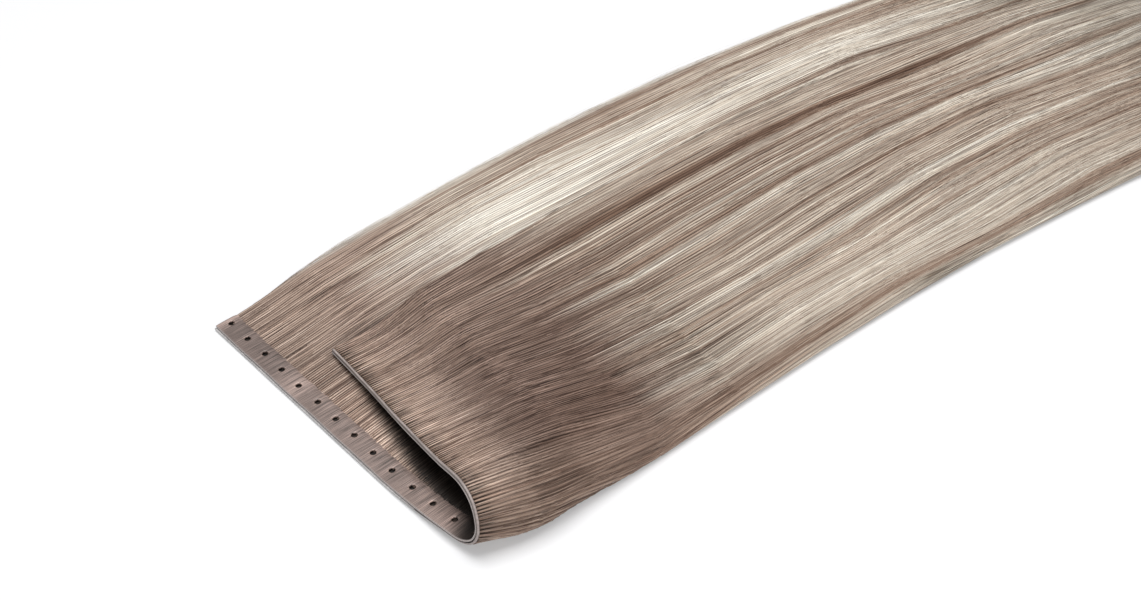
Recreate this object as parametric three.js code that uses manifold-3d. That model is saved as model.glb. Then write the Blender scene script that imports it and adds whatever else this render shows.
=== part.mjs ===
// A hair weft: a perforated skin band that carries a fall of hair, folded once and laid on a table.
// Millimetres, +Z up. X runs along the band and Y down the hair, from the band to the tips.
// The build starts at the band's lower end and is moved at the end, so that the origin lies on the
// table under the middle of the whole weft.
import * as THREE from "three";
import { mergeVertices } from "three/addons/utils/BufferGeometryUtils.js";
import Module from "manifold-3d";

const wasm = await Module();
wasm.setup();

// Driving dimensions of the band
const bandWidth = 11;
const bandThickness = 1;
const lipWidth = 2.5;
const plyGap = 0.3; // kept between the band, its lip and the hair
const holeDiameter = 2.5;
const holePitch = 12.5;
const firstHole = 3; // from the band's lower end to the middle of the first hole
const holeInset = 6; // from the band's outer edge to the middle of the holes
const holeSides = 12;

// Driving dimensions of the hair
const hairLength = 500;
const lockCount = 32;
const rootThickness = 1.2; // under the band, where the roots are pressed flat
const layerGap = 0.5; // between the two layers of the folded hair
const droopRate = 0.002; // how steeply the hair leaves the band, for each millimetre of its height
const fanRate = 0.33; // how far the hair leans outwards at the turn of the fold
const settleStart = 14; // from the roots to where the hair starts to sink to its lying height
const settleLength = 121; // over which it sinks
const spreadLength = 40; // past the band, over which it turns to its lying direction
const grooveShare = 0.5; // a lock's thickness at its edges, as a share of its crown
const notchDepth = 28; // how far the gaps between the tips reach back
const tipStagger = 14; // the longest lock's lead over the shortest

// Where the outline of the lying hair runs
const sweepBulge = 7.5; // the sideways bow of all the hair
const sweepTurn = 142; // the distance from the band at which the bow is deepest
const flareWidth = 21; // how far the hair of the fold spreads beyond it
const flareReach = 54; // from the band to where most of that spread is reached

// The outer edge of the band, from its lower end round the fold to its upper end
const foldTable = [
  { place: "lower end", x: 0, y: 0, z: 2 },
  { place: "lower run", x: 56, y: 0, z: 2 },
  { place: "lower run", x: 108, y: 0, z: 2 },
  { place: "lower run", x: 112, y: 0, z: 2 },
  { place: "lift off the table", x: 121, y: 0.1, z: 2.2 },
  { place: "lift off the table", x: 139, y: 0.4, z: 3.2 },
  { place: "lift off the table", x: 152, y: 0.9, z: 4.5 },
  { place: "turn, lower side", x: 162, y: 1.9, z: 5.6 },
  { place: "turn, lower side", x: 167, y: 3.2, z: 8.9 },
  { place: "turn, outermost", x: 168.2, y: 4.6, z: 13.2 },
  { place: "turn, upper side", x: 166.6, y: 5.9, z: 18 },
  { place: "turn, upper side", x: 162.6, y: 7.4, z: 22.3 },
  { place: "crown of the loop", x: 154.5, y: 9.3, z: 24.2 },
  { place: "fall", x: 136, y: 12.5, z: 19 },
  { place: "fall", x: 103, y: 18.2, z: 11.6 },
  { place: "upper run", x: 76, y: 22.8, z: 7 },
  { place: "upper end", x: 48, y: 26.3, z: 4 },
];

// How thick the hair is at each distance from its roots
const rootInset = lipWidth + plyGap; // from the band's edge to the roots
const bandCover = bandWidth - rootInset; // the length of root that the band hides
const hairStations = [
  { along: 0, thick: rootThickness },
  { along: bandCover, thick: rootThickness },
  { along: 16, thick: 1.6 },
  { along: 26, thick: 2 },
  { along: 39, thick: 2.3 },
  { along: 56, thick: 2.4 },
  { along: 78, thick: 2.5 },
  { along: 104, thick: 2.5 },
  { along: 135, thick: 2.5 },
  { along: 172, thick: 2.5 },
  { along: 214, thick: 2.5 },
  { along: 260, thick: 2.5 },
  { along: 310, thick: 2.4 },
  { along: 365, thick: 2.2 },
  { along: 415, thick: 1.9 },
  { along: 460, thick: 1.5 },
  { along: hairLength, thick: 0.9 },
];
const fullThickness = Math.max(...hairStations.map((station) => station.thick));

const bandEdge = new THREE.CatmullRomCurve3(foldTable.map(({ x, y, z }) => new THREE.Vector3(x, y, z)));
const bandLength = bandEdge.getLength();
const lerp = THREE.MathUtils.lerp;
const smoothstep = THREE.MathUtils.smoothstep;

// The band's own directions at a share of its length: along it, across it towards the hair, and
// inward, to the side that the fold encloses. Where the band stands high, the hair leaves it downwards,
// and round the turn of the fold it fans outwards.
function bandFrame(share) {
  const point = bandEdge.getPointAt(share);
  const along = bandEdge.getTangentAt(share);
  const fan = fanRate * Math.max(0, along.z);
  const droop = droopRate * (point.z - foldTable[0].z);
  const hairward = new THREE.Vector3(fan, 1, -droop);
  const across = hairward.clone().addScaledVector(along, -hairward.dot(along)).normalize();
  const inward = along.clone().cross(across);
  return { point, along, across, inward };
}

function onBand(share, acrossBy, inwardBy) {
  const { point, across, inward } = bandFrame(share);
  return point.addScaledVector(across, acrossBy).addScaledVector(inward, inwardBy);
}

// A box whose grid is carried through a mapping of its three shares, so that it stays one closed skin.
function bentBox(columns, rows, place) {
  const box = new THREE.BoxGeometry(1, 1, 1, columns, rows, 1);
  box.deleteAttribute("normal");
  box.deleteAttribute("uv");
  const skin = mergeVertices(box);
  const position = skin.getAttribute("position");
  for (let i = 0; i < position.count; i++) {
    const spot = place(position.getX(i) + 0.5, position.getY(i) + 0.5, position.getZ(i) + 0.5);
    position.setXYZ(i, spot.x, spot.y, spot.z);
  }
  return skin;
}

function solidOf(geometry) {
  const bare = geometry.clone();
  bare.deleteAttribute("normal");
  bare.deleteAttribute("uv");
  const skin = mergeVertices(bare);
  return new wasm.Manifold(
    new wasm.Mesh({
      numProp: 3,
      vertProperties: new Float32Array(skin.getAttribute("position").array),
      triVerts: new Uint32Array(skin.index.array),
    }),
  );
}

function geometryOf(solid) {
  const mesh = solid.getMesh();
  const geometry = new THREE.BufferGeometry();
  geometry.setAttribute("position", new THREE.BufferAttribute(new Float32Array(mesh.vertProperties), 3));
  geometry.setIndex(new THREE.BufferAttribute(new Uint32Array(mesh.triVerts), 1));
  geometry.computeVertexNormals();
  return geometry;
}

// Each lock has four columns of the grid: its two edges, which it shares, and the two sides of its crown.
// The plies of the band stand on the same columns, so that the clearance between them is even.
const lockColumns = [0, 0.25, 0.75];
const columns = lockCount * lockColumns.length;

function lockEdge(lock) {
  const inner = lock > 0 && lock < lockCount;
  return (lock + (inner ? 0.22 * Math.sin(2.4 * lock) : 0)) / lockCount;
}

function lockOf(column) {
  return Math.min(lockCount - 1, Math.floor(column / lockColumns.length));
}

function withinLock(column) {
  return column === columns ? 1 : lockColumns[column % lockColumns.length];
}

function shareOf(column) {
  const lock = lockOf(column);
  return lerp(lockEdge(lock), lockEdge(lock + 1), withinLock(column));
}

// A strip that follows the band, through the given distances from its edge and between two depths.
function strip(distances, fromDepth, toDepth) {
  const rows = distances.length - 1;
  return bentBox(columns, rows, (columnShare, rowShare, deep) => {
    const share = shareOf(Math.round(columnShare * columns));
    return onBand(share, distances[Math.round(rowShare * rows)], lerp(fromDepth, toDepth, deep));
  });
}

// A punch that stands square to the band at one hole.
function punch(distance) {
  const { point, along, across, inward } = bandFrame(distance / bandLength);
  const middle = point.addScaledVector(across, holeInset);
  return new THREE.CylinderGeometry(holeDiameter / 2, holeDiameter / 2, 3 * bandThickness, holeSides)
    .applyMatrix4(new THREE.Matrix4().makeBasis(across, inward, along))
    .translate(middle.x, middle.y, middle.z);
}

function bandSkin() {
  let skin = solidOf(strip([0, rootInset, bandWidth], -bandThickness / 2, bandThickness / 2));
  for (let distance = firstHole; distance < bandLength - holeDiameter; distance += holePitch) {
    skin = skin.subtract(solidOf(punch(distance)));
  }
  return geometryOf(skin);
}

// The narrow outer ply along the edge. The hair starts beside it, at the same depth.
const outerFace = -bandThickness / 2 - plyGap;

function edgeLip() {
  return strip([0, lipWidth], outerFace - rootThickness, outerFace);
}

function thicknessAt(along) {
  const next = hairStations.find((station) => station.along >= along) ?? hairStations.at(-1);
  const last = hairStations[Math.max(0, hairStations.indexOf(next) - 1)];
  const share = next === last ? 0 : (along - last.along) / (next.along - last.along);
  return lerp(last.thick, next.thick, share);
}

function sweepAt(y) {
  return sweepBulge * (((y - sweepTurn) / sweepTurn) ** 2 - 1);
}

// The lying hair across the whole weft, at one distance from the band: along the table from the lower
// end to the fold, round the fold, and back above it to the upper end.
function lyingPoint(share, y, thickness) {
  const foldX = Math.max(...foldTable.map(({ x }) => x));
  const lowerLeft = sweepAt(y);
  const upperLeft = foldTable.at(-1).x + sweepAt(y) - sweepAt(foldTable.at(-1).y);
  const turnRadius = (fullThickness + layerGap) / 2;
  const right = foldX + flareWidth * (1 - Math.exp(-y / flareReach)) + sweepAt(y) - turnRadius;
  const lowerRun = right - lowerLeft;
  const turn = Math.PI * turnRadius;
  const walked = share * (lowerRun + turn + right - upperLeft);
  const spot = new THREE.Vector3(lowerLeft + walked, y, thickness / 2);
  if (walked > lowerRun + turn) {
    spot.x = right - (walked - lowerRun - turn);
    spot.z += 2 * turnRadius;
  } else if (walked > lowerRun) {
    const angle = (walked - lowerRun) / turnRadius;
    spot.x = right + turnRadius * Math.sin(angle);
    spot.z += turnRadius * (1 - Math.cos(angle));
  }
  return spot;
}

// The middle of the hair's thickness: straight out of the band at first, and then lying.
function hairMiddle(share, along) {
  const thickness = thicknessAt(along);
  const { across } = bandFrame(share);
  const root = onBand(share, rootInset, outerFace - rootThickness / 2);
  const straight = root.clone().addScaledVector(across, along);
  straight.z += (thickness - rootThickness) / 2;
  const lying = lyingPoint(share, root.y + along, thickness);
  const settled = smoothstep(along, settleStart, settleStart + settleLength);
  const height = lerp(Math.max(straight.z, lying.z), lying.z, settled);
  const spread = smoothstep(along, bandCover, bandCover + spreadLength);
  return straight.lerp(lying, spread).setZ(height);
}

// The hair's thickness is set off square to it, and under the band square to the band.
function hairNormal(share, along) {
  const shareStep = 0.002;
  const alongStep = 0.5;
  const left = hairMiddle(Math.max(0, share - shareStep), along);
  const right = hairMiddle(Math.min(1, share + shareStep), along);
  const near = hairMiddle(share, Math.max(0, along - alongStep));
  const far = hairMiddle(share, along + alongStep);
  const normal = right.sub(left).cross(far.sub(near)).normalize();
  return normal.lerp(bandFrame(share).inward, 1 - smoothstep(along, bandCover, 3 * bandCover)).normalize();
}

function lockReach(lock) {
  const goldenShare = (lock * 0.618) % 1;
  return hairLength - tipStagger * goldenShare;
}

function hairFall() {
  const rows = hairStations.length - 1;
  return bentBox(columns, rows, (columnShare, rowShare, deep) => {
    const column = Math.round(columnShare * columns);
    const lock = lockOf(column);
    const share = shareOf(column);
    const onEdge = withinLock(column) % 1 === 0;
    const reach = onEdge ? Math.min(lockReach(lock), lockReach(lock + 1)) - notchDepth : lockReach(lock);
    const station = hairStations[Math.round(rowShare * rows)];
    const along = lerp(station.along, station.along * (reach / hairLength), station.along / hairLength);
    const thickness = thicknessAt(station.along) * (onEdge ? grooveShare : 1);
    const middle = hairMiddle(share, along);
    return middle.addScaledVector(hairNormal(share, along), (deep - 0.5) * thickness);
  });
}

const materials = {
  skin: new THREE.MeshStandardMaterial({ color: 0x8d7e77, roughness: 0.45, metalness: 0 }),
  lip: new THREE.MeshStandardMaterial({ color: 0x93857c, roughness: 0.5, metalness: 0 }),
  hair: new THREE.MeshStandardMaterial({ color: 0xa48f7d, roughness: 0.42, metalness: 0 }),
};

function piece(name, geometry, material) {
  const mesh = new THREE.Mesh(geometry, material);
  mesh.name = name;
  return mesh;
}

const weft = new THREE.Group();
weft.add(
  piece("band_skin", bandSkin(), materials.skin),
  piece("edge_lip", edgeLip(), materials.lip),
  piece("hair_fall", hairFall(), materials.hair),
);

// The origin: on the table, under the middle of the weft's box.
const box = new THREE.Box3().setFromObject(weft);
const middle = box.getCenter(new THREE.Vector3());
weft.position.set(-middle.x, -middle.y, -box.min.z);

export default weft;
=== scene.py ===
import bmesh
import bpy
import numpy as np
from mathutils import Matrix, Vector


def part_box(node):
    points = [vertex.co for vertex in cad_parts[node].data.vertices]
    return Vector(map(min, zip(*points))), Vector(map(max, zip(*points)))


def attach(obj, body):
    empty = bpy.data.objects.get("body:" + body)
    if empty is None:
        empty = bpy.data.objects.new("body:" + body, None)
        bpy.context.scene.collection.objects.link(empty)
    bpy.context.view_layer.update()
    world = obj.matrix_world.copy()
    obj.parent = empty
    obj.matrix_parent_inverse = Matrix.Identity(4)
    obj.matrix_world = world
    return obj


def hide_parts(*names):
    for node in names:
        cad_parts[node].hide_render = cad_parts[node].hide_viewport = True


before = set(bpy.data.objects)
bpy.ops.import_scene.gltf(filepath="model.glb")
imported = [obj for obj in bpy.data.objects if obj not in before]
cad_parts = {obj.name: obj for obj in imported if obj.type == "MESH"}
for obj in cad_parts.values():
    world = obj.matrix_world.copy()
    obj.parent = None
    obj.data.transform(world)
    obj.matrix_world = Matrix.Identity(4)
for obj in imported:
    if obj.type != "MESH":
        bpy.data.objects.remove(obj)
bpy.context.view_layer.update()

mm = 0.001
rng = np.random.default_rng(41)  # every random draw comes from here

weft = {
    "bandWidth": 11.0,
    "bandThickness": 1.0,
    "lipWidth": 2.5,
    "plyGap": 0.3,
    "hairLength": 500.0,
    "rootThickness": 1.2,
    "layerGap": 0.5,
    "droopRate": 0.002,  # how steeply the hair leaves the band, for each millimetre of its height
    "fanRate": 0.33,  # how far the hair leans outwards at the turn of the fold
    "settleFrom": 14.0,  # where the hair starts to sink to its lying height
    "settleTo": 135.0,
    "spreadLength": 40.0,  # over which it turns to its lying direction
    "sweepBulge": 7.5,  # the sideways bow of all the hair
    "sweepTurn": 142.0,
    "flareWidth": 21.0,  # how far the hair of the fold spreads beyond it
    "flareReach": 54.0,  # from the band to where most of that spread is reached
}

# The band's outer edge, from its lower end round the fold to its upper end
foldPath = [
    (0, 0, 2), (56, 0, 2), (108, 0, 2), (112, 0, 2),
    (121, 0.1, 2.2), (139, 0.4, 3.2), (152, 0.9, 4.5),
    (162, 1.9, 5.6), (167, 3.2, 8.9), (168.2, 4.6, 13.2),
    (166.6, 5.9, 18), (162.6, 7.4, 22.3), (154.5, 9.3, 24.2),
    (136, 12.5, 19), (103, 18.2, 11.6), (76, 22.8, 7), (48, 26.3, 4),
]

# Distance from the roots, and how thick the hair is there
thickSteps = [0, 8.2, 16, 26, 39, 56, 78, 260, 310, 365, 415, 460, 500]
thickSizes = [1.2, 1.2, 1.6, 2.0, 2.3, 2.4, 2.5, 2.5, 2.4, 2.2, 1.9, 1.5, 0.9]

rootInset = weft["lipWidth"] + weft["plyGap"]
bandCover = weft["bandWidth"] - rootInset  # the length of root that the band hides
outerFace = -weft["bandThickness"] / 2 - weft["plyGap"]
turnRadius = (max(thickSizes) + weft["layerGap"]) / 2

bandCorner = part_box("band_skin")[0]
weftOrigin = np.array(bandCorner)
weftOrigin[2] -= (foldPath[0][2] - weft["bandThickness"] / 2) * mm
print("frame loaded, weft corner at", [round(float(value), 5) for value in weftOrigin])


# Shared shape of the weft

def smoothStep(value, low, high):
    share = np.clip((value - low) / (high - low), 0, 1)
    return share * share * (3 - 2 * share)


def mix(first, second, share):
    return first + (second - first) * share


def unit(vectors):
    return vectors / np.linalg.norm(vectors, axis=-1, keepdims=True)


def tracePath(points, samples):
    # A smooth curve through all the points, whose ends carry on straight
    knots = np.array(points, float)
    knots = np.vstack([2 * knots[0] - knots[1], knots, 2 * knots[-1] - knots[-2]])
    place = np.linspace(0, len(points) - 1, samples)
    part = np.minimum(place.astype(int), len(points) - 2)
    step = (place - part)[:, None]
    before, start, end, after = (knots[part + shift] for shift in range(4))
    gapIn, gapMid, gapOut = (
        np.sqrt(np.linalg.norm(far - near, axis=1))[:, None]
        for near, far in ((before, start), (start, end), (end, after))
    )
    leave = (start - before) / gapIn - (end - before) / (gapIn + gapMid) + (end - start) / gapMid
    arrive = (end - start) / gapMid - (after - start) / (gapMid + gapOut) + (after - end) / gapOut
    leave, arrive = leave * gapMid, arrive * gapMid
    bend = 3 * (end - start) - 2 * leave - arrive
    twist = 2 * (start - end) + leave + arrive
    return start + leave * step + bend * step ** 2 + twist * step ** 3


trace = tracePath(foldPath, 4001)
traceSteps = np.linalg.norm(np.diff(trace, axis=0), axis=1)
traceReach = np.concatenate([[0], np.cumsum(traceSteps)])
bandLength = float(traceReach[-1])
traceShare = traceReach / bandLength
traceTangent = unit(np.gradient(trace, axis=0))


def onTrace(table, share):
    return np.stack([np.interp(share, traceShare, table[:, axis]) for axis in range(3)], -1)


def bandFrame(share):
    # The band's own directions: along it, across it towards the hair, and in to the folded side
    share = np.clip(share, 0, 1)
    point = onTrace(trace, share)
    along = unit(onTrace(traceTangent, share))
    fan = weft["fanRate"] * np.maximum(along[..., 2], 0)
    droop = weft["droopRate"] * (point[..., 2] - foldPath[0][2])
    hairward = np.stack([fan, np.ones_like(fan), -droop], -1)
    across = unit(hairward - np.sum(hairward * along, -1, keepdims=True) * along)
    return point, across, np.cross(along, across)


def onBand(share, acrossBy, inwardBy):
    point, across, inward = bandFrame(share)
    return point + across * np.asarray(acrossBy)[..., None] + inward * np.asarray(inwardBy)[..., None]


def thicknessAt(along):
    return np.interp(along, thickSteps, thickSizes)


def sweepAt(y):
    return weft["sweepBulge"] * (((y - weft["sweepTurn"]) / weft["sweepTurn"]) ** 2 - 1)


def lyingPoint(share, y, thick):
    # Along the table to the fold, round it, and back above to the upper end
    upperEnd = foldPath[-1]
    foldX = max(point[0] for point in foldPath)
    lowerLeft = sweepAt(y)
    upperLeft = upperEnd[0] + sweepAt(y) - sweepAt(upperEnd[1])
    flare = weft["flareWidth"] * (1 - np.exp(-y / weft["flareReach"]))
    right = foldX + flare + sweepAt(y) - turnRadius
    lowerRun = right - lowerLeft
    turn = np.pi * turnRadius
    walked = share * (lowerRun + turn + right - upperLeft)
    angle = np.clip((walked - lowerRun) / turnRadius, 0, np.pi)
    back = np.maximum(walked - lowerRun - turn, 0)
    x = lowerLeft + np.minimum(walked, lowerRun) + turnRadius * np.sin(angle) - back
    z = thick / 2 + turnRadius * (1 - np.cos(angle))
    return np.stack([x, y, z], -1)


def hairMiddle(share, along):
    # Straight out of the band at first, and then lying
    point, across, inward = bandFrame(share)
    thick = thicknessAt(along)
    root = point + across * rootInset + inward * (outerFace - weft["rootThickness"] / 2)
    straight = root + across * along[..., None]
    straight[..., 2] += (thick - weft["rootThickness"]) / 2
    lying = lyingPoint(share, root[..., 1] + along, thick)
    settled = smoothStep(along, weft["settleFrom"], weft["settleTo"])
    height = mix(np.maximum(straight[..., 2], lying[..., 2]), lying[..., 2], settled)
    spread = smoothStep(along, bandCover, bandCover + weft["spreadLength"])
    middle = mix(straight, lying, spread[..., None])
    middle[..., 2] = height
    return middle


def hairNormal(share, along):
    # Square to the hair, and under the band square to the band, to the folded side
    left = hairMiddle(share - 0.002, along)
    right = hairMiddle(share + 0.002, along)
    near = hairMiddle(share, np.maximum(along - 0.5, 0))
    far = hairMiddle(share, along + 0.5)
    normal = unit(np.cross(right - left, far - near))
    banded = 1 - smoothStep(along, bandCover, 3 * bandCover)
    return unit(mix(normal, bandFrame(share)[2], banded[..., None]))


def toRow(points):
    return np.asarray(points) * mm + weftOrigin


# Tones of the hair

noiseTable = rng.random((1024, 64))


def softNoise(x, y):
    # Smooth noise from 0 to 1 on a table of random values
    wide, high = noiseTable.shape
    column, row = np.floor(x).astype(int), np.floor(y).astype(int)
    acrossBy, downBy = smoothStep(x - column, 0, 1), smoothStep(y - row, 0, 1)
    corner = [[noiseTable[(column + i) % wide, (row + j) % high] for j in (0, 1)] for i in (0, 1)]
    near = mix(corner[0][0], corner[1][0], acrossBy)
    far = mix(corner[0][1], corner[1][1], acrossBy)
    return mix(near, far, downBy)


tones = {
    # Streaks from broad to single hairs: how many cross the weft, their length, and where each starts
    "streaks": [(17, 260, 3.1, 0), (62, 420, 7.7, 5), (190, 260, 1.3, 9), (640, 110, 5.9, 2)],
    "rootMix": (0.40, 0.14, 0.06, 0.40),  # how much of each streak
    "rootGain": 0.6,
    "rootShift": -0.01,
    "rootSteps": [0.0, 0.25, 0.5, 0.75, 1.0],
    "rootColours": [
        (0.085, 0.048, 0.034), (0.190, 0.125, 0.094), (0.300, 0.218, 0.171),
        (0.415, 0.315, 0.257), (0.590, 0.496, 0.422),
    ],
    "lengthMix": (0.14, 0.38, 0.30, 0.18),
    "lengthGain": 1.55,
    "lengthShift": 0.01,
    "lengthSteps": [0.0, 0.2, 0.4, 0.6, 0.8, 1.0],
    "lengthColours": [
        (0.130, 0.076, 0.051), (0.245, 0.168, 0.123), (0.352, 0.274, 0.216),
        (0.455, 0.386, 0.317), (0.565, 0.505, 0.427), (0.665, 0.622, 0.552),
    ],
    "ownTone": 0.30,  # how far a strand differs from its neighbours
    "palest": 0.85,
    # Share of the band, and how far from the roots the streaks start there
    "lightenShares": [0.0, 0.05, 0.16, 0.26, 0.55, 0.62, 1.0],
    "lightenStarts": [56.0, 38.0, 40.0, 54.0, 72.0, 74.0, 52.0],
    "lightenSpread": 32.0,
    "lightenOver": 56.0,
    "valleyShade": 0.84,  # painted shade between the ridges of the strands; the crests get a painted highlight
    "crestHighlight": 1.08,
    "paleEdge": (0.80, 0.735, 0.65),  # the thin lower side lets light through
    "paleEdgeBy": 0.85,
    "paleEdgeShares": (-0.003, 0.008),
    "paleEdgeReach": (14, 100),
    "foldShare": 0.45,  # the lower run lies below this share of the band
    "upperShares": (0.55, 0.675),  # where the upper run starts
    "upperDrop": 0.11,  # how much darker its lengths are
    "upperShade": (0.51, 0.455, 0.445),  # the upper run before its streaks start
    "upperReach": (8, 34),
    "upperFade": 0.6,  # how much weaker that is towards the free side
    "upperFadeShares": (0.78, 0.97),
    "filmSide": (0.98, 1.32),  # painted light on the lower run just past the film, at its end and near the fold
    "filmSideShares": (0.14, 0.3),
    "filmSideReach": (14, 42),
    "lipSide": 1.24,  # painted light on the upper run just past the lip
    "lipSideReach": (4, 22),
    # Lighter and darker stretches: middle and half width in shares, middle and half length, change of tone
    "patches": [
        (0.088, 0.134, 125.0, 130.0, 0.44),
        (0.018, 0.022, 150.0, 160.0, -0.30),
        (0.19, 0.07, 220.0, 120.0, 0.16),
        (0.07, 0.10, 300.0, 130.0, 0.16),
        (0.60, 0.06, 250.0, 160.0, -0.04),
        (0.70, 0.13, 420.0, 100.0, -0.16),
        (0.90, 0.14, 500.0, 170.0, 0.40),
    ],
}


def ramp(value, steps, colours):
    table = np.array(colours)
    return np.stack([np.interp(value, steps, table[:, channel]) for channel in range(3)], -1)


def contrast(value, gain):
    return np.clip((value - 0.5) * gain + 0.5, 0, 1)


def ridges(share, along):
    # Fine ridges of neighbouring strands, from 0 in a valley to 1 on a crest
    fine = softNoise(share * 620 + 2.2, along / 110 + 1)
    wisp = softNoise(share * 160 + 4.4, along / 180 + 6)
    return np.clip(0.88 * fine + 0.12 * wisp, 0, 1)


def blend(parts, weights):
    return sum(weight * part for weight, part in zip(weights, parts))


def hairColour(share, along, jitter):
    streaks = [
        softNoise(share * across + column, along / length + row)
        for across, length, column, row in tones["streaks"]
    ]
    upperRun = smoothStep(share, *tones["upperShares"])
    rootTone = contrast(blend(streaks, tones["rootMix"]), tones["rootGain"]) + tones["rootShift"]
    lengthTone = contrast(blend(streaks, tones["lengthMix"]), tones["lengthGain"]) + tones["lengthShift"]
    lengthTone = lengthTone - tones["upperDrop"] * upperRun
    for shareAt, shareBy, alongAt, alongBy, change in tones["patches"]:
        near = np.clip(1 - ((share - shareAt) / shareBy) ** 2 - ((along - alongAt) / alongBy) ** 2, 0, 1)
        lengthTone = lengthTone + change * near
    start = np.interp(share, tones["lightenShares"], tones["lightenStarts"])
    start = start + tones["lightenSpread"] * softNoise(share * 44 + 11, share * 3)
    start = start + tones["lightenSpread"] * (softNoise(share * 170 + 6, share * 3) - 0.5)
    lightened = smoothStep(along, start, start + tones["lightenOver"])
    own = tones["ownTone"] * jitter
    root = ramp(np.clip(rootTone + own, 0, 1), tones["rootSteps"], tones["rootColours"])
    length = ramp(np.clip(lengthTone + own, 0, 1), tones["lengthSteps"], tones["lengthColours"])
    upperBy = upperRun * smoothStep(along, *tones["upperReach"])
    upperBy = upperBy * (1 - tones["upperFade"] * smoothStep(share, *tones["upperFadeShares"]))
    root = root * mix(1, np.array(tones["upperShade"]), upperBy[..., None])
    # Painted light: the upper run's hair just past the lip is made lighter
    lipBy = (share > tones["foldShare"]) * (1 - smoothStep(along, *tones["lipSideReach"]))
    root = root * mix(1, tones["lipSide"], lipBy)[..., None]
    # Painted light: the lower run's hair just past the film is made lighter
    filmBy = (share < tones["foldShare"]) * (1 - smoothStep(along, *tones["filmSideReach"]))
    filmSide = mix(*tones["filmSide"], smoothStep(share, *tones["filmSideShares"]))
    root = root * mix(1, filmSide, filmBy)[..., None]
    # Painted shade in the valleys between the strands' ridges, painted highlight on their crests
    valley = mix(tones["valleyShade"], tones["crestHighlight"], ridges(share, along))
    colour = mix(root, length, lightened[..., None]) * valley[..., None]
    edge = tones["paleEdgeBy"] * (1 - smoothStep(share, *tones["paleEdgeShares"]))
    edge = edge * smoothStep(along, *tones["paleEdgeReach"])
    return np.clip(mix(colour, np.array(tones["paleEdge"]), edge[..., None]), 0, tones["palest"])


hairFlow = {
    "fullTurn": 6.28,
    # Sideways waves of the lying hair: size, length, turns across the weft, and where each starts
    "waves": [(2.6, 235, 2.3, 0.7), (1.1, 130, 5.1, 2.1)],
    "growth": 0.8,  # how soon the waves reach their size
    "calmSide": 0.06,  # the share at each side that has none
    "fan": 0.038,  # how far the upper run's hair fans out, as a share of the band
    "fanFrom": 0.56,
    "fanOver": 0.44,
    "fanReach": (4, 95),
    "fanBack": 0.8,  # how much of that it loses again
    "fanBackReach": (130, 430),
    "steps": 4,
}


def drift(share, along):
    # The slow sideways wander of the lying hair, and the upper run's fan, as a share of the band
    reach = np.clip(along / weft["hairLength"], 0, 1.2) ** hairFlow["growth"]
    sideways = sum(
        size * np.sin(hairFlow["fullTurn"] * (along / length + turns * share) + start)
        for size, length, turns, start in hairFlow["waves"]
    )
    fan = np.sin(np.pi * np.clip((share - hairFlow["fanFrom"]) / hairFlow["fanOver"], 0, 1))
    back = hairFlow["fanBack"] * smoothStep(along, *hairFlow["fanBackReach"])
    fan = fan * (smoothStep(along, *hairFlow["fanReach"]) - back)
    inner = smoothStep(np.minimum(share, 1 - share), 0, hairFlow["calmSide"])
    return sideways * inner * reach / bandLength - hairFlow["fan"] * fan


def flowShare(share, along):
    # The root that the hair at this place comes from, if it doesn't stray
    root = share
    for step in range(hairFlow["steps"]):
        root = share - drift(root, along)
    return root


hollow = {
    "crown": foldPath[12],  # the top of the fold
    "shade": 0.06,  # of the lower layer under the upper run
    "outward": (1.5, 5.5),  # how far the dark reaches out, at the upper run's end and near the fold
    "outwardFrom": 10,  # measured from the upper run's end
    "outwardTo": 80,
    "soft": 5,
    "darkFrom": 4,
    "darkTo": 35,
    "lowerShare": 0.57,  # up to where the lower layer is darkened by its place
    "turnShares": (0.44, 0.52),  # and inside the turn it is dark all over
    "reach": (40, 90),
    "sideShade": 0.42,  # of the lower layer beside the upper run
    "sideFrom": 8,
    "sideTo": 1,
    "sideRows": (18, 32),
    "sideShare": 0.5,
    "sideReach": (40, 95),
}


def hollowShade(place, share, along):
    # Under the upper run the lower layer lies in the dark, near the band
    upperEnd, crown = foldPath[-1], hollow["crown"]
    endX, endY = upperEnd[0], upperEnd[1]
    x, y = place[..., 0], place[..., 1]
    lean = (crown[1] - endY) / (crown[0] - endX)
    past = y - endY - lean * (x - endX)
    near = smoothStep(x, endX + hollow["outwardFrom"], endX + hollow["outwardTo"])
    under = smoothStep(past + mix(*hollow["outward"], near), 0, hollow["soft"])
    under = under * smoothStep(x, endX + hollow["darkFrom"], endX + hollow["darkTo"])
    under = np.maximum(under * (share < hollow["lowerShare"]), smoothStep(share, *hollow["turnShares"]))
    shade = mix(1, hollow["shade"], under * (1 - smoothStep(along, *hollow["reach"])))
    # And the upper run's free side throws a narrow shade on it
    sideX = endX + sweepAt(y) - sweepAt(endY)
    beside = smoothStep(x, sideX - hollow["sideFrom"], sideX + hollow["sideTo"])
    beside = beside * smoothStep(y, *hollow["sideRows"])
    beside = beside * (share < hollow["sideShare"]) * (1 - smoothStep(along, *hollow["sideReach"]))
    return shade * mix(1, hollow["sideShade"], beside)


def rootTicks(share, along):
    # Short dark lines between the roots, at the lip: painted shade in the gaps between the tufts
    place = share * bandLength / tufts["tickPitch"]
    uneven = tufts["tickWander"] * softNoise(share * 90, share * 0 + 60)
    wave = smoothStep(np.cos(hairFlow["fullTurn"] * (place + uneven)), *tufts["tickEdge"])
    return 1 - tufts["tickDepth"] * wave * (1 - smoothStep(along, *tufts["tickReach"]))


# Materials

def newMaterial(name):
    material = bpy.data.materials.new(name)
    material.use_nodes = True
    tree = material.node_tree
    return material, tree.nodes, tree.links, tree.nodes["Principled BSDF"]


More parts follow.
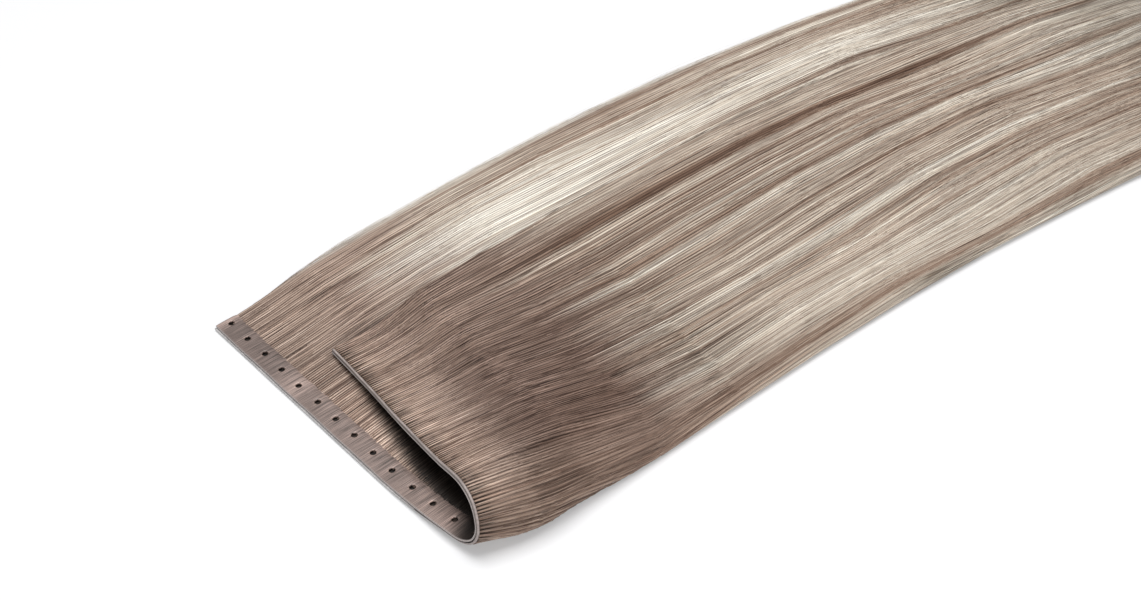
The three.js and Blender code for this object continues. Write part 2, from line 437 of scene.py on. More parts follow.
def addNode(nodes, kind, place, **values):
    node = nodes.new(kind)
    node.location = place
    for key, value in values.items():
        setattr(node, key, value)
    return node


def setInputs(node, **values):
    for key, value in values.items():
        node.inputs[key.replace("_", " ")].default_value = value


def setRamp(colourRamp, steps, colours):
    stops = colourRamp.elements
    for place, (step, colour) in enumerate(zip(steps, colours)):
        stop = stops[place] if place < 2 else stops.new(step)
        stop.position = step
        stop.color = (*colour, 1)


def strandMaterial(name, look):
    # The tone is on the points, and fine lines of shade and light run along the hair
    material, nodes, links, shader = newMaterial(name)
    tone = addNode(nodes, "ShaderNodeAttribute", (-600, 450), attribute_name="pieceTone")
    place = addNode(nodes, "ShaderNodeAttribute", (-1300, 0), attribute_name="hairPlace")
    spread = addNode(nodes, "ShaderNodeMapping", (-1100, 0))
    setInputs(spread, Scale=look["lineScale"])
    lines = addNode(nodes, "ShaderNodeTexNoise", (-900, 0))
    setInputs(lines, Scale=1.0, Detail=1.0, Roughness=0.5)
    shade = addNode(nodes, "ShaderNodeValToRGB", (-650, 150))
    setRamp(shade.color_ramp, look["lineSteps"], look["lineColours"])
    toned = addNode(nodes, "ShaderNodeMix", (-300, 300), data_type="RGBA", blend_type="MULTIPLY")
    # Close lines, one beside the other
    fineSpread = addNode(nodes, "ShaderNodeMapping", (-1100, 600))
    setInputs(fineSpread, Scale=(1, look["lineScale"][1], 1))
    fine = addNode(nodes, "ShaderNodeTexWave", (-900, 600))
    waveLength = 0.314  # of the wave texture at scale 1
    setInputs(fine, Scale=waveLength / look["finePitch"], Distortion=look["fineBend"])
    setInputs(fine, Detail=1.0, Detail_Scale=look["fineBendScale"])
    fineDepth = addNode(nodes, "ShaderNodeValToRGB", (-400, 600))
    setRamp(fineDepth.color_ramp, look["fineSteps"], look["fineColours"])
    fineToned = addNode(nodes, "ShaderNodeMix", (-100, 450), data_type="RGBA", blend_type="MULTIPLY")
    parts = addNode(nodes, "ShaderNodeSeparateXYZ", (-900, 300))
    shine = addNode(nodes, "ShaderNodeMapRange", (-650, -150))
    setInputs(shine, To_Min=look["roughest"], To_Max=look["smoothest"])
    links.new(place.outputs["Vector"], spread.inputs["Vector"])
    links.new(place.outputs["Vector"], parts.inputs["Vector"])
    links.new(parts.outputs["Z"], toned.inputs["Factor"])
    links.new(place.outputs["Vector"], fineSpread.inputs["Vector"])
    links.new(fineSpread.outputs["Vector"], fine.inputs["Vector"])
    links.new(fine.outputs["Fac"], fineDepth.inputs["Fac"])
    links.new(parts.outputs["Z"], fineToned.inputs["Factor"])
    links.new(toned.outputs["Result"], fineToned.inputs["A"])
    links.new(fineDepth.outputs["Color"], fineToned.inputs["B"])
    links.new(spread.outputs["Vector"], lines.inputs["Vector"])
    links.new(lines.outputs["Fac"], shade.inputs["Fac"])
    links.new(lines.outputs["Fac"], shine.inputs["Value"])
    links.new(tone.outputs["Color"], toned.inputs["A"])
    links.new(shade.outputs["Color"], toned.inputs["B"])
    links.new(fineToned.outputs["Result"], shader.inputs["Base Color"])
    links.new(shine.outputs["Result"], shader.inputs["Roughness"])
    shader.inputs["Specular IOR Level"].default_value = look["sheen"]
    return material


def skinMaterial(name, look):
    # Satin film: its tone is on the points, and fine lines of root run across it
    material, nodes, links, shader = newMaterial(name)
    tone = addNode(nodes, "ShaderNodeAttribute", (-600, 450), attribute_name="pieceTone")
    flat = addNode(nodes, "ShaderNodeUVMap", (-1300, 0), uv_map="bandMap")
    lineSpread = addNode(nodes, "ShaderNodeMapping", (-1100, 200))
    setInputs(lineSpread, Scale=look["lineScale"])
    lines = addNode(nodes, "ShaderNodeTexNoise", (-900, 200))
    setInputs(lines, Scale=1.0, Detail=3.0, Roughness=0.62)
    depth = addNode(nodes, "ShaderNodeMapRange", (-650, 200))
    setInputs(depth, From_Min=0.36, From_Max=0.64)
    setInputs(depth, To_Min=1 - look["lineDepth"], To_Max=1 + look["lineDepth"])
    lined = addNode(nodes, "ShaderNodeMix", (-350, 300), data_type="RGBA", blend_type="MULTIPLY")
    lined.inputs["Factor"].default_value = 1.0
    patches = addNode(nodes, "ShaderNodeTexNoise", (-900, -150))
    setInputs(patches, Scale=look["patchScale"], Detail=2.0)
    shine = addNode(nodes, "ShaderNodeMapRange", (-650, -250))
    setInputs(shine, From_Min=0.35, From_Max=0.68)
    setInputs(shine, To_Min=look["roughest"], To_Max=look["smoothest"])
    relief = addNode(nodes, "ShaderNodeBump", (-350, -350))
    setInputs(relief, Strength=look["relief"], Distance=look["reliefHeight"])
    links.new(flat.outputs["UV"], lineSpread.inputs["Vector"])
    links.new(lineSpread.outputs["Vector"], lines.inputs["Vector"])
    links.new(flat.outputs["UV"], patches.inputs["Vector"])
    links.new(lines.outputs["Fac"], depth.inputs["Value"])
    links.new(tone.outputs["Color"], lined.inputs["A"])
    links.new(depth.outputs["Result"], lined.inputs["B"])
    links.new(lined.outputs["Result"], shader.inputs["Base Color"])
    links.new(patches.outputs["Fac"], shine.inputs["Value"])
    links.new(shine.outputs["Result"], shader.inputs["Roughness"])
    links.new(lines.outputs["Fac"], relief.inputs["Height"])
    links.new(relief.outputs["Normal"], shader.inputs["Normal"])
    shader.inputs["Specular IOR Level"].default_value = look["sheen"]
    return material


# Meshes

def addPiece(name, mesh, material):
    piece = bpy.data.objects.new(name, mesh)
    bpy.context.scene.collection.objects.link(piece)
    mesh.materials.append(material)
    mesh.polygons.foreach_set("use_smooth", [True] * len(mesh.polygons))
    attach(piece, "root")
    return piece


def meshPoints(mesh):
    points = np.empty(len(mesh.vertices) * 3, np.float32)
    mesh.vertices.foreach_get("co", points)
    return points.reshape(-1, 3).astype(float)


def placePoints(mesh, points):
    mesh.vertices.foreach_set("co", toRow(points).astype(np.float32).ravel())
    mesh.update()


def flatSheet(wide, long, columns, rows):
    # A flat grid from 0 to wide and 0 to long
    sheet = bmesh.new()
    bmesh.ops.create_grid(sheet, x_segments=columns, y_segments=rows, size=0.5)
    bmesh.ops.translate(sheet, verts=sheet.verts, vec=(0.5, 0.5, 0))
    bmesh.ops.scale(sheet, verts=sheet.verts, vec=(wide, long, 1))
    return sheet


def thickSheet(sheet, name):
    # The second skin lies one unit from the first, until both are put in place
    bmesh.ops.solidify(sheet, geom=sheet.faces[:], thickness=1.0)
    bmesh.ops.recalc_face_normals(sheet, faces=sheet.faces[:])
    mesh = bpy.data.meshes.new(name)
    sheet.to_mesh(mesh)
    sheet.free()
    flat = meshPoints(mesh)
    return mesh, flat, flat[:, 2] > flat[:, 2].mean()


def mapCorners(mesh, name, places):
    corners = np.empty(len(mesh.loops), np.int32)
    mesh.loops.foreach_get("vertex_index", corners)
    layer = mesh.uv_layers.new(name=name)
    layer.data.foreach_set("uv", places[corners].astype(np.float32).ravel())


def paintPoints(mesh, colours):
    layer = mesh.color_attributes.new("pieceTone", "FLOAT_COLOR", "POINT")
    rgba = np.concatenate([colours, np.ones((len(colours), 1))], 1)
    layer.data.foreach_set("color", rgba.astype(np.float32).ravel())


fineLines = {
    "rootDepth": 1.0,
    "lengthDepth": 0.66,
    "depthReach": (50, 140),  # over which the one turns into the other
    "sideDepth": 0.3,
    "sideShares": (0, 0.015),
    "foldLoss": 0.45,  # how much shallower they are at the turn of the fold
    "foldFrom": (0.42, 0.48),
    "foldTo": (0.60, 0.72),
    "drawnFrom": 80,  # beyond this they are drawn out
    "drawnBy": 0.45,
}


def notePlaces(mesh, share, along):
    # Where each point is in the flat weft, in millimetres, and how deep the fine lines are there
    layer = mesh.attributes.new("hairPlace", "FLOAT_VECTOR", "POINT")
    lengthBy = smoothStep(along, *fineLines["depthReach"])
    depth = mix(fineLines["rootDepth"], fineLines["lengthDepth"], lengthBy)
    depth = mix(fineLines["sideDepth"], depth, smoothStep(share, *fineLines["sideShares"]))
    fold = fineLines["foldLoss"] * smoothStep(share, *fineLines["foldFrom"])
    depth = depth * (1 - fold * (1 - smoothStep(share, *fineLines["foldTo"])))
    drawnFrom = fineLines["drawnFrom"]
    drawnOut = np.minimum(along, drawnFrom) + fineLines["drawnBy"] * np.maximum(along - drawnFrom, 0)
    flat = np.stack([share * bandLength, drawnOut, depth], -1)
    layer.data.foreach_set("vector", flat.astype(np.float32).ravel())


# Skin band with its row of holes

bandFilm = {
    "cell": 0.5,
    "holeDiameter": 2.85,
    "holePitch": 12.5,
    "firstHole": 3.0,
    "holeInset": 6.0,
    "holeWander": 0.22,
    "top": 0.32,
    "thinFrom": 8.6,  # where the film starts to thin out towards the hair
    "thinTop": -0.06,
    "thinBottom": -0.36,
    "edgeRound": 0.22,
    "edgeRoundWidth": 0.6,
    "edgeRoundBelow": 0.4,  # as a share of the rounding above
    "pucker": 0.1,
    "edgeWander": 0.3,
    "ragged": 0.5,
    "raggedFrom": 5,  # the power by which the raggedness keeps to the hair side
    "tabStep": 0.5,  # the hair side jumps a little from one stretch to the next
    "tabShift": 0.24,
    "tabWander": 0.2,
    "colour": (0.178, 0.132, 0.115),
    # Distance along the band, and how light the film is there: the rise near 50 mm is painted sheen, the peak
    # at 152 mm by the last hole a painted glint
    "toneSteps": [0, 2, 6, 40, 48, 54, 62, 100, 130, 152, 160, 175],
    "toneSizes": [1.7, 1.35, 0.72, 0.84, 1.15, 1.25, 0.95, 1.0, 1.08, 1.35, 1.0, 1.0],
    "blotches": (0.86, 0.28),  # the darkest, and how much lighter the lightest are
    "seam": 1.28,
    "seamWidth": (0.1, 0.7),
    "holeRim": 1.5,
    "holeRimWidth": (0.05, 0.5),
    "foldedShade": 0.12,  # the film inside the turn of the fold
    "foldedReach": (153, 166),
    "foldedSlant": 0.6,  # how much sooner it gets dark towards the hair
    "edgeColour": (0.34, 0.30, 0.285),  # its outer edge, painted light as where it catches the light
    "edgeWidth": 0.3,
    "grooveShade": 0.4,  # the side of it that meets the lip
    "grooveWidth": 1.2,
    "look": {
        "lineScale": (4.3, 0.06, 1.0), "lineDepth": 0.75, "patchScale": 0.055,
        "roughest": 0.52, "smoothest": 0.34, "sheen": 0.4, "relief": 0.3, "reliefHeight": 0.0002,
    },
}


def bandHoles():
    lastHole = bandLength - bandFilm["holeDiameter"]
    middles = np.arange(bandFilm["firstHole"], lastHole, bandFilm["holePitch"])
    wander = rng.uniform(-1, 1, (len(middles), 2)) * bandFilm["holeWander"]
    return np.stack([middles, np.full(len(middles), bandFilm["holeInset"])], 1) + wander


def holeDistance(points, holes):
    nearest = np.abs(points[:, None, 0] - holes[None, :, 0]).argmin(1)
    offset = points - holes[nearest]
    return holes[nearest], offset, np.linalg.norm(offset, axis=1)


def punchHoles(sheet, holes):
    # The points inside go, and those round them move onto the rim
    radius, cell = bandFilm["holeDiameter"] / 2, bandFilm["cell"]
    points = np.array([vert.co[:2] for vert in sheet.verts])
    middle, offset, distance = holeDistance(points, holes)
    onRim = middle + offset / np.maximum(distance, 1e-6)[:, None] * radius
    inner = radius - 0.3 * cell
    around = [
        (vert, place) for vert, place, gap in zip(sheet.verts, onRim, distance)
        if inner <= gap < radius + 1.5 * cell
    ]
    inside = [vert for vert, gap in zip(sheet.verts, distance) if gap < inner]
    bmesh.ops.delete(sheet, geom=inside, context="VERTS")
    for vert, place in around:
        if vert.is_boundary:
            vert.co.xy = place


def buildBand():
    cell, width = bandFilm["cell"], weft["bandWidth"]
    sheet = flatSheet(bandLength, width, round(bandLength / cell), round(width / cell))
    holes = bandHoles()
    punchHoles(sheet, holes)
    mesh, flat, upper = thickSheet(sheet, "band_film")
    mapCorners(mesh, "bandMap", flat[:, :2])
    reach, across, share = flat[:, 0], flat[:, 1], flat[:, 0] / bandLength
    none = np.zeros_like(reach)
    # The film's two faces, rounded at the outer edge and thin at the hair
    edge = bandFilm["edgeRound"] * np.clip(1 - across / bandFilm["edgeRoundWidth"], 0, 1) ** 2
    thin = smoothStep(across, bandFilm["thinFrom"], width)
    pucker = bandFilm["pucker"] * (softNoise(reach / 6, across / 4 + 2) - 0.5)
    top = mix(bandFilm["top"] - edge + pucker, bandFilm["thinTop"], thin)
    bottom = -weft["bandThickness"] / 2 + bandFilm["edgeRoundBelow"] * edge
    bottom = mix(bottom, bandFilm["thinBottom"], thin)
    # Its edges wander, and the hair side is ragged
    tabs = reach / bandFilm["holePitch"] + bandFilm["tabShift"]
    tabs = tabs + bandFilm["tabWander"] * softNoise(reach / 30, none)
    tabStep = bandFilm["tabStep"] * (softNoise(np.floor(tabs) + 0.5, none + 40.5) - 0.5)
    wander = bandFilm["edgeWander"] * (softNoise(reach / 17, none + 3) - 0.5)
    ragged = bandFilm["ragged"] * (softNoise(reach / 1.6, none + 8) - 0.5)
    hairSide = (across / width) ** bandFilm["raggedFrom"]
    shift = wander * (1 + across / width) + (ragged + tabStep) * hairSide
    placePoints(mesh, onBand(share, across + shift, np.where(upper, top, bottom)))
    # Tones: a pale free end, painted sheen in two stretches, seams between the stretches, bright rims and
    # painted shade in the turn
    darkest, lighterBy = bandFilm["blotches"]
    tone = darkest + lighterBy * softNoise(reach / 9, across / 7 + 12)
    tone *= np.interp(reach, bandFilm["toneSteps"], bandFilm["toneSizes"])
    fromSeam = np.abs(tabs % 1 - 0.5) * bandFilm["holePitch"]
    tone *= mix(bandFilm["seam"], 1, smoothStep(fromSeam, *bandFilm["seamWidth"]))
    rim = holeDistance(flat[:, :2], holes)[2] - bandFilm["holeDiameter"] / 2
    tone *= mix(bandFilm["holeRim"], 1, smoothStep(rim, *bandFilm["holeRimWidth"]))
    turned = smoothStep(reach + bandFilm["foldedSlant"] * across, *bandFilm["foldedReach"])
    tone *= np.where(upper, mix(1, bandFilm["foldedShade"], turned), 1)
    groove = ~upper & (across < bandFilm["grooveWidth"]) & (share > tones["foldShare"])
    tone[groove] *= bandFilm["grooveShade"]
    colours = tone[:, None] * np.array(bandFilm["colour"])
    # The outer edge gets a painted highlight, as where it catches the light
    colours[across < bandFilm["edgeWidth"]] = bandFilm["edgeColour"]
    paintPoints(mesh, colours)
    piece = addPiece("band_film", mesh, skinMaterial("satin skin", bandFilm["look"]))
    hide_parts("band_skin")
    print("band film:", len(mesh.polygons), "faces,", len(holes), "holes")


# Rolled lip along the outer edge

rolledLip = {
    "cell": 0.8,
    "rows": 8,
    "from": 0.3,  # across the band
    "to": 1.3,
    "lowerOut": 1.0,  # how far it peeps out on the lower run
    "turnShares": (0.4, 0.5),  # where the lower run's lip turns into the upper run's
    "wander": 0.16,
    "gap": 0.1,  # between it and the outer face
    "deep": 0.95,
    "edgeShare": 0.5,  # its thickness at the edges of the roll
    "grooveShade": 0.3,  # the side that meets the band
    "blotches": (0.85, 0.3),  # the darkest, and how much lighter the lightest are
    "colour": (0.270, 0.226, 0.209),
    "lowerColour": (0.36, 0.345, 0.34),  # thin and pale on the lower run
    "look": {
        "lineScale": (1.1, 0.5, 1.0), "lineDepth": 0.18, "patchScale": 0.08,
        "roughest": 0.56, "smoothest": 0.38, "sheen": 0.4, "relief": 0.2, "reliefHeight": 0.0002,
    },
}


def buildLip():
    width = rolledLip["to"] - rolledLip["from"]
    sheet = flatSheet(bandLength, width, round(bandLength / rolledLip["cell"]), rolledLip["rows"])
    mesh, flat, upper = thickSheet(sheet, "rolled_lip")
    mapCorners(mesh, "bandMap", flat[:, :2])
    reach, across, share = flat[:, 0], flat[:, 1], flat[:, 0] / bandLength
    swell = np.sqrt(np.clip(1 - (2 * across / width - 1) ** 4, 0, 1))
    deep = rolledLip["deep"] * mix(rolledLip["edgeShare"], 1, swell)
    turned = smoothStep(share, *rolledLip["turnShares"])
    wander = rolledLip["wander"] * (softNoise(reach / 14, across * 0 + 21) - 0.5)
    wander = wander - rolledLip["lowerOut"] * (1 - turned)
    inward = np.where(upper, outerFace - rolledLip["gap"], outerFace - deep)
    placePoints(mesh, onBand(share, rolledLip["from"] + across + wander, inward))
    darkest, lighterBy = rolledLip["blotches"]
    tone = darkest + lighterBy * softNoise(reach / 5, across * 0 + 33)
    tone[upper & (share > tones["foldShare"])] *= rolledLip["grooveShade"]
    colour = mix(np.array(rolledLip["lowerColour"]), np.array(rolledLip["colour"]), turned[:, None])
    paintPoints(mesh, tone[:, None] * colour)
    piece = addPiece("rolled_lip", mesh, skinMaterial("satin lip", rolledLip["look"]))
    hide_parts("edge_lip")
    print("rolled lip:", len(mesh.polygons), "faces")


# Bed of hair under the strands

hairBed = {
    "columns": 300,
    "rows": 72,
    "rootCrowding": 1.7,  # how much closer the rows are at the roots
    "sink": 0.25,  # how far it lies under the strands
    "sideInset": 0.014,  # and how far inside its edges, as a share of the width
    "sideInsetReach": (6, 60),
    "thinnest": 0.08,
    "sideThickness": 0.35,  # at its sides, as a share of the rest
    "sideGain": 0.65,
    "sideWidth": 0.03,
    "endsAt": 494.0,
    "tipLoss": 18.0,
    # the bed is painted darker than the strands: painted shade deep between them
    "shade": 0.5,
    "tipShade": 0.9,  # where the strands over it end
    "tipReach": (370, 460),
    "coveredShade": (0.02, 0.16),  # behind the holes
    "rootGapShade": 0.5,  # between the tufts at the lip
    "rootGapReach": 3,
    "rootShade": 0.7,  # beside the film
    "rootReach": 26,
    "foldedShade": 0.06,  # the underside of the upper run
    "foldedFrom": 0.54,
}


def buildBed():
    sheet = flatSheet(1, 1, hairBed["columns"], hairBed["rows"])
    mesh, flat, upper = thickSheet(sheet, "hair_bed")
    share = flat[:, 0]
    tipLoss = hairBed["tipLoss"] * softNoise(share * 60, share * 0 + 4)
    along = (hairBed["endsAt"] - tipLoss) * flat[:, 1] ** hairBed["rootCrowding"]
    share = share + hairBed["sideInset"] * (1 - 2 * share) * smoothStep(along, *hairBed["sideInsetReach"])
    half = np.maximum(thicknessAt(along) / 2 - hairBed["sink"], hairBed["thinnest"])
    fromSide = smoothStep(np.minimum(share, 1 - share), 0, hairBed["sideWidth"])
    half *= hairBed["sideThickness"] + hairBed["sideGain"] * fromSide
    depth = np.where(upper, half, -half)
    place = hairMiddle(share, along) + hairNormal(share, along) * depth[:, None]
    placePoints(mesh, place)
    shade = mix(hairBed["shade"], hairBed["tipShade"], smoothStep(along, *hairBed["tipReach"]))
    shade[~upper & (along < hairBed["rootGapReach"])] = hairBed["rootGapShade"]
    shade[upper & (along < hairBed["rootReach"])] = hairBed["rootShade"]
    shade[upper & (share > hairBed["foldedFrom"])] = hairBed["foldedShade"]
    shade[upper] *= hollowShade(place, share, along)[upper]
    covered = mix(*hairBed["coveredShade"], softNoise(share * 31, share * 0 + 14) ** 3)
    shade = np.where(upper & (along < bandCover), covered, shade)
    paintPoints(mesh, hairColour(share - drift(share, along), along, share * 0) * shade[:, None])
    notePlaces(mesh, flowShare(share, along), along)
    piece = addPiece("hair_bed", mesh, strandMaterial("hair shade", strandLook))
    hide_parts("hair_fall")
    print("hair bed:", len(mesh.polygons), "faces")


# Strands

strandSides = 3
strandLook = {
    "lineScale": (3.0, 0.03, 1.0),
    "lineSteps": [0.38, 0.46, 0.56, 0.64],
    "lineColours": [(0.42, 0.36, 0.34), (0.98, 0.97, 0.96), (1.04, 1.03, 1.02), (1.30, 1.30, 1.30)],
    "finePitch": 1.15,
    "fineBend": 2.8,  # how unevenly the close lines run
    "fineBendScale": 2.5,
    "fineSteps": [0.0, 0.4, 1.0],
    "fineColours": [(0.18, 0.145, 0.135), (1.02, 1.02, 1.02), (1.34, 1.39, 1.41)],
    "roughest": 0.57,
    "smoothest": 0.35,
    "sheen": 0.22,
}


def strandMesh(name, centres, normals, radii, colours, share, along):
    # One closed three-sided tube for each strand, all in one mesh
    count, steps = radii.shape
    tangents = unit(np.gradient(centres, axis=1))
    sides = unit(np.cross(tangents, normals))
    ups = np.cross(sides, tangents)
    turn = np.arange(strandSides) * 2 * np.pi / strandSides
    rings = centres[:, :, None] + radii[:, :, None, None] * (
        ups[:, :, None] * np.cos(turn)[:, None] + sides[:, :, None] * np.sin(turn)[:, None]
    )
    corner = np.arange(count * steps * strandSides).reshape(count, steps, strandSides)
    near, far = corner[:, :-1], corner[:, 1:]
    quads = np.stack([near, np.roll(near, -1, 2), np.roll(far, -1, 2), far], -1).reshape(-1, 4)
    caps = np.concatenate([corner[:, 0, ::-1], corner[:, -1]])
    mesh = bpy.data.meshes.new(name)
    mesh.vertices.add(corner.size)
    mesh.loops.add(quads.size + caps.size)
    mesh.polygons.add(len(quads) + len(caps))
    mesh.loops.foreach_set("vertex_index", np.concatenate([quads.ravel(), caps.ravel()]).astype(np.int32))
    starts = np.concatenate([np.arange(len(quads)) * 4, quads.size + np.arange(len(caps)) * 3])
    mesh.polygons.foreach_set("loop_start", starts.astype(np.int32))
    placePoints(mesh, rings.reshape(-1, 3))
    mesh.validate()
    paintPoints(mesh, np.repeat(colours.reshape(-1, 3), strandSides, 0))
    notePlaces(mesh, np.repeat(share.ravel(), strandSides), np.repeat(along.ravel(), strandSides))
    # Each strand has its own narrow upright strip of the map
    row = np.broadcast_to(np.arange(count)[:, None, None], corner.shape)
    upright = np.broadcast_to(np.linspace(0.01, 0.99, steps)[None, :, None], corner.shape)
    place = np.stack([(row + 0.15 + 0.35 * np.arange(strandSides)) / count, upright], -1)
    mapCorners(mesh, "OFBake", place.reshape(-1, 2))
    return mesh


tufts = {
    "pitch": 1.3,  # along the lip
    "closeAt": 3.0,  # where the gaps between the tufts have closed
    "gather": 0.15,
    "uneven": 0.3,
    "tickPitch": 1.3,  # of the dark lines between the tufts
    "tickWander": 0.8,
    "tickEdge": (0.1, 0.75),
    "tickReach": (2.0, 6.0),
    "tickDepth": 0.85,
}


def gatherRoots(share, along):
    # At the lip the strands come out in tufts
    pitch = tufts["pitch"] / bandLength
    place = share / pitch + tufts["uneven"] * softNoise(share / pitch / 3, share * 0 + 50)
    middle = share + (np.floor(place) + 0.5 - place) * pitch
    pull = tufts["gather"] * (1 - smoothStep(along, 0, tufts["closeAt"]))
    return mix(share, middle, pull)


def growStrands(name, settings, material):
    common = dict(strandCommon, **settings)
    count, steps = common["count"], common["steps"]
    root = np.sort(rng.uniform(*common["shares"], count))[:, None]
    start, end = (rng.uniform(*common[key], count)[:, None] for key in ("starts", "ends"))
    progress = np.linspace(0, 1, steps)[None, :] ** common["crowding"]
    along = start + (end - start) * progress
    seed = rng.uniform(0, 900, count)[:, None]
    leastStray, moreStray = common["stray"]
    stray = leastStray + moreStray * rng.random(count)[:, None] ** 3
    wander = stray * common["wander"] * (softNoise(seed, along / common["wanderLength"]) - 0.5) / bandLength
    share = root + drift(root, along) + wander * smoothStep(along, *common["wanderReach"])
    depth = rng.uniform(*common["depths"], count)[:, None]
    face = np.sign(depth)
    if common["tufted"]:
        share = gatherRoots(share, along)
    # Crests and valleys that neighbours share, a little of their own, and ends that dive in
    lift = common["relief"] * (ridges(root, along) - 0.5)
    lift = lift + common["lift"] * (softNoise(seed + 31, along / common["liftLength"]) - common["liftMiddle"])
    tipDive = common["tipDive"] * smoothStep(progress, common["tipDiveFrom"], 1)
    buried = 1 - smoothStep(along - start, 0, common["rootDiveReach"]) * (1 - tipDive)
    lift = lift - common["dive"] * buried
    raised = smoothStep(along, common["riseFrom"], bandCover) * (1 - smoothStep(along, *common["riseTo"]))
    lift = lift + np.where(face > 0, common["rise"] * raised, 0)
    normals = hairNormal(share, along)
    offset = face * (thicknessAt(along) / 2 * np.abs(depth) + lift)
    centres = hairMiddle(share, along) + normals * offset[..., None]
    centres[..., 2] = np.maximum(centres[..., 2], common["lowest"])
    thin = 1 - common["tipThin"] * smoothStep(progress, common["tipThinFrom"], 1)
    radii = rng.uniform(*common["radii"], count)[:, None] * thin
    jitter = np.clip(rng.normal(0, common["toneSpread"], count), -1, 1)[:, None]
    colours = hairColour(root + 0 * along, along, jitter + 0 * along)
    # Painted light on the hair where it stands upright, which the light from above reaches less
    upright = 1 - np.clip(np.abs(normals[..., 2]) / common["flatNormal"], 0, 1)
    upright = smoothStep(along, *common["uprightReach"]) * upright
    shade = np.where(face > 0, hollowShade(centres, share, along), rootTicks(share, along))
    shade = shade * (1 + common["uprightLight"] * upright)
    colours = np.clip(colours * shade[..., None], 0, tones["palest"])
    flow = flowShare(share, along)
    mesh = strandMesh(name, centres, normals * face[..., None], radii, colours, flow, along)
    addPiece(name, mesh, material)
    mesh.calc_loop_triangles()
    print(name + ":", count, "strands,", len(mesh.loop_triangles), "triangles")


strandCommon = {
    "steps": 11,
    "crowding": 1.5,  # how much closer the steps are at the roots
    "starts": (4.5, 8.0),
    "ends": (462, 503),
    "radii": (0.10, 0.20),
    "tipThin": 0.7,
    "tipThinFrom": 0.8,
    "lowest": 0.12,  # above the table
    "wander": 2.2,  # each strand's own way sideways
    "wanderLength": 70,
    "wanderReach": (4, 90),
    "stray": (0.5, 1.6),  # the least of that wander, and how much more a few strands have
    "relief": 0.15,  # the ridges that neighbours share
    "lift": 0.2,  # each strand's own height
    "liftLength": 42,
    "liftMiddle": 0.42,
    "dive": 0.3,  # how deep the ends sink in
    "rootDiveReach": 5,
    "tipDive": 0.75,
    "tipDiveFrom": 0.86,
    "rise": 0.85,  # the lower run's hair comes up beside the film
    "riseFrom": 3,
    "riseTo": (11, 45),
    "tufted": False,
    "toneSpread": 0.45,
    "uprightLight": 0.45,  # painted light: how much lighter the hair is where it stands upright and the light from above falls on it less
    "flatNormal": 0.85,
    "uprightReach": (6, 30),
}
strandSets = {
    "hair_lower_left": {"count": 1950, "shares": (0.004, 0.24), "depths": (0.8, 1.0)},
    "hair_lower_fold": {"count": 700, "shares": (0.22, 0.56), "depths": (0.8, 1.0), "crowding": 2.0},
    "hair_lower_near": {
        "count": 2300, "steps": 12, "crowding": 1.6, "shares": (0.0, 0.56), "starts": (4.0, 7.0),
        "ends": (45, 130), "depths": (0.9, 1.0), "wander": 1.5,
    },
    "hair_upper_fold": {"count": 1800, "shares": (0.44, 0.72), "starts": (2.5, 7.0), "depths": (-1.0, -0.8)},
    "hair_upper_free": {"count": 1800, "shares": (0.70, 1.0), "starts": (2.5, 7.0), "depths": (-1.0, -0.8)},
    "hair_upper_near": {
        "count": 2600, "steps": 8, "crowding": 1.15, "shares": (0.44, 1.0), "starts": (2.0, 5.0),
        "ends": (45, 130), "depths": (-1.0, -0.9), "wander": 1.5, "tufted": True,
    },
    "hair_root_tufts": {
        "count": 2400, "steps": 6, "crowding": 1.2, "shares": (0.42, 1.0), "starts": (-1.7, -1.2),
        "ends": (9, 22), "depths": (-1.05, -0.8), "relief": 0.2, "lift": 0.1, "dive": 0.15, "wander": 0.0,
        "radii": (0.08, 0.15), "tufted": True,
    },
    "hair_left_edge": {
        "count": 240, "steps": 16, "crowding": 1.25, "shares": (-0.001, 0.012), "depths": (-0.6, 0.9),
        "wander": 3.0, "radii": (0.05, 0.09),
    },
    "hair_free_edge": {
        "count": 320, "shares": (0.965, 1.0), "starts": (2.0, 8.0), "depths": (-0.9, 0.9), "wander": 7.0,
    },
    "hair_underside": {
        "count": 350, "shares": (0.0, 0.5), "depths": (-0.95, -0.7), "relief": 0.1, "lift": 0.1,
    },
    "hair_strays": {
        "count": 200, "steps": 16, "crowding": 1.25, "shares": (-0.004, 0.008), "ends": (120, 490),
        "depths": (0.1, 0.9), "relief": 0.1, "lift": 0.3, "wander": 5.0, "radii": (0.035, 0.055),
    },
}


# Table, light and camera

studio = {
    "floorSize": 6.0,
    "floorColour": (0.56, 0.56, 0.565),
    "floorDrop": 0.0001,
    "floorRoughness": 0.8,
    "floorSheen": 0.1,
    "floorGlow": 0.21,  # a table lit from below as well, so that shadows stay pale
    "softboxSize": 1.1,
    "softboxPlace": (-0.12, 0.06, 1.45),  # from the middle of the view
    "softboxPower": 26.0,
    "fillSize": 1.0,
    "fillPlace": (1.0, -0.55, 0.7),
    "fillPower": 8.0,
    "worldColour": (0.95, 0.97, 1.0),
    "worldStrength": 0.30,
}

view = {
    "azimuth": 48.002,
    "elevation": 42.853,
    "focalPixels": 1700.0,
    "imageWidth": 1141,
    "sensorWidth": 36.0,
    "target": (87.423, 124.937, 0.0),
    "distance": 740.169,
}


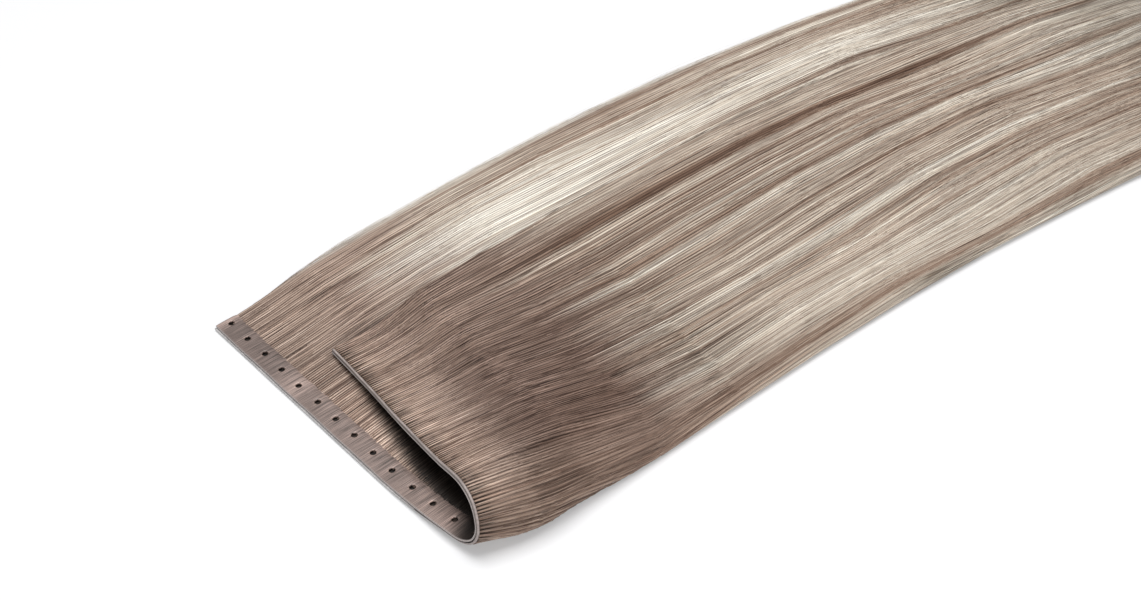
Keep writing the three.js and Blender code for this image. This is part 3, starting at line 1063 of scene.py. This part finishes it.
def buildCamera():
    turn, rise = np.radians(view["azimuth"]), np.radians(view["elevation"])
    back = np.array([np.sin(turn) * np.cos(rise), -np.cos(turn) * np.cos(rise), np.sin(rise)])
    right = np.array([np.cos(turn), np.sin(turn), 0])
    up = np.cross(back, right)
    place = toRow(np.array(view["target"]) + back * view["distance"])
    lens = bpy.data.cameras.new("camera")
    lens.sensor_fit = "HORIZONTAL"
    lens.sensor_width = view["sensorWidth"]
    lens.lens = view["sensorWidth"] * view["focalPixels"] / view["imageWidth"]
    lens.clip_start = 0.01
    camera = bpy.data.objects.new("camera", lens)
    rows = [[right[axis], up[axis], back[axis], place[axis]] for axis in range(3)]
    camera.matrix_world = Matrix(rows + [[0, 0, 0, 1]])
    bpy.context.scene.collection.objects.link(camera)
    bpy.context.scene.camera = camera
    print("camera placed")


def buildTable():
    sheet = bmesh.new()
    bmesh.ops.create_grid(sheet, x_segments=2, y_segments=2, size=studio["floorSize"] / 2)
    bmesh.ops.translate(sheet, verts=sheet.verts, vec=(0, 0, -studio["floorDrop"]))
    mesh = bpy.data.meshes.new("table")
    sheet.to_mesh(mesh)
    sheet.free()
    table = bpy.data.objects.new("table", mesh)
    material, nodes, links, shader = newMaterial("pale table")
    shader.inputs["Base Color"].default_value = (*studio["floorColour"], 1)
    shader.inputs["Roughness"].default_value = studio["floorRoughness"]
    shader.inputs["Specular IOR Level"].default_value = studio["floorSheen"]
    shader.inputs["Emission Color"].default_value = (1, 1, 1, 1)
    shader.inputs["Emission Strength"].default_value = studio["floorGlow"]
    mesh.materials.append(material)
    bpy.context.scene.collection.objects.link(table)


def addSoftbox(name):
    aim = Vector(studio[name + "Place"])
    lamp = bpy.data.lights.new(name, "AREA")
    lamp.size = studio[name + "Size"]
    lamp.energy = studio[name + "Power"]
    softbox = bpy.data.objects.new(name, lamp)
    softbox.location = Vector(toRow(view["target"])) + aim
    softbox.rotation_euler = aim.to_track_quat("Z", "Y").to_euler()
    bpy.context.scene.collection.objects.link(softbox)


def buildLight():
    addSoftbox("softbox")
    addSoftbox("fill")
    world = bpy.data.worlds.new("soft room")
    world.use_nodes = True
    room = world.node_tree.nodes["Background"]
    room.inputs["Color"].default_value = (*studio["worldColour"], 1)
    room.inputs["Strength"].default_value = studio["worldStrength"]
    bpy.context.scene.world = world
    bpy.context.scene.view_settings.view_transform = "Standard"
    print("table and light placed")


buildCamera()
buildTable()
buildLight()
buildBand()
buildLip()
buildBed()
strandFinish = strandMaterial("soft hair", strandLook)
for setName, setValues in strandSets.items():
    growStrands(setName, setValues, strandFinish)
